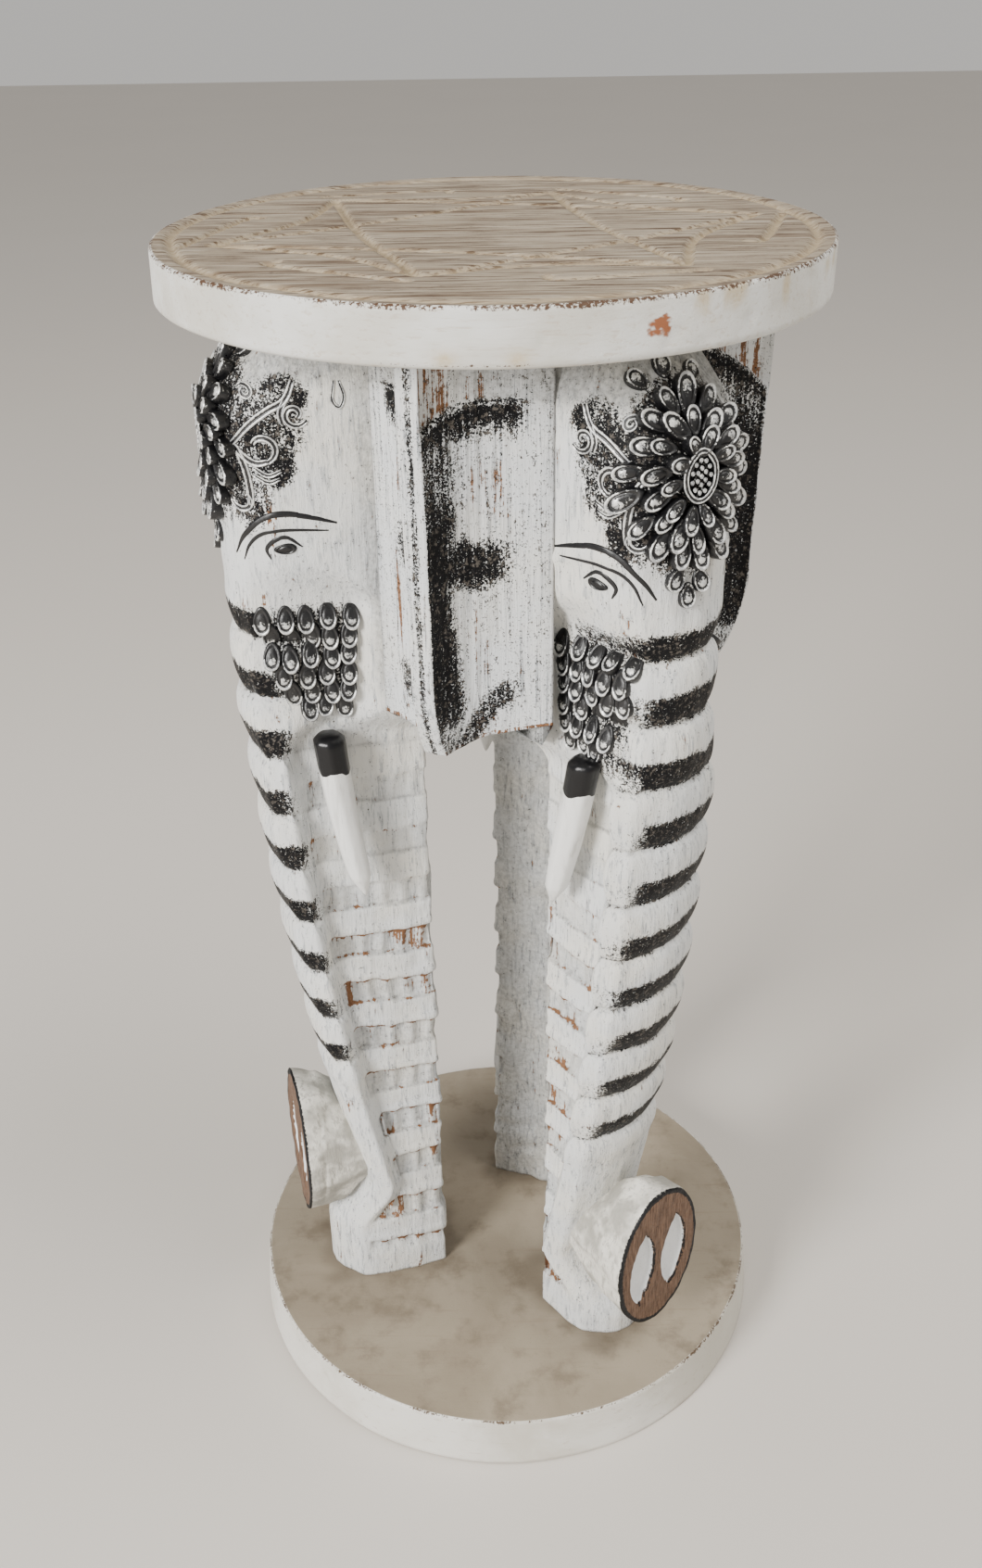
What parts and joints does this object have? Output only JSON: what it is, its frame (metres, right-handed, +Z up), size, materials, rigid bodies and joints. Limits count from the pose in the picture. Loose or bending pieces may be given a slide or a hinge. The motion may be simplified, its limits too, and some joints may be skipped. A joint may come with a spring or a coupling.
{
  "type": "carved elephant pedestal stand",
  "caption": "Carved wooden pedestal: whitewashed elephant heads whose ringed trunks run down as legs between a round top and a round base, for a plant or lamp.",
  "frame": {"origin": "centre of the base's underside", "axes": "+Z up along the pedestal's axis, -Y towards the gap between the first and second heads, which face left and front right"},
  "size_m": [0.24, 0.24, 0.5],
  "materials": {
    "top_wood": "whitewashed and rubbed back, brown grain showing",
    "base_wood": "thin grey-brown wash, white side",
    "carved_wood": "whitewash over brown wood, black paint in the carving",
    "ear_wood": "whitewash with sponged black bands",
    "tusk_wood": "satin white with a black root",
    "tip_wood": "whitewash, bare brown end face",
    "dowel_wood": "plain",
    "screw_steel": "zinc plated"
  },
  "bodies": {
    "root": {"top_disc": "top_wood", "base_disc": "base_wood", "head_1": "carved_wood", "head_2": "carved_wood", "head_3": "carved_wood", "ear_1_left": "ear_wood", "ear_1_right": "ear_wood", "ear_2_left": "ear_wood", "ear_2_right": "ear_wood", "ear_3_left": "ear_wood", "ear_3_right": "ear_wood", "tusk_1_left": "tusk_wood", "tusk_1_right": "tusk_wood", "tusk_2_left": "tusk_wood", "tusk_2_right": "tusk_wood", "tusk_3_left": "tusk_wood", "tusk_3_right": "tusk_wood", "trunk_tip_1": "tip_wood", "trunk_tip_2": "tip_wood", "trunk_tip_3": "tip_wood", "top_dowels": "dowel_wood", "base_screws": "screw_steel", "ear_dowels": "dowel_wood", "tip_dowels": "dowel_wood"}
  },
  "joints": []
}
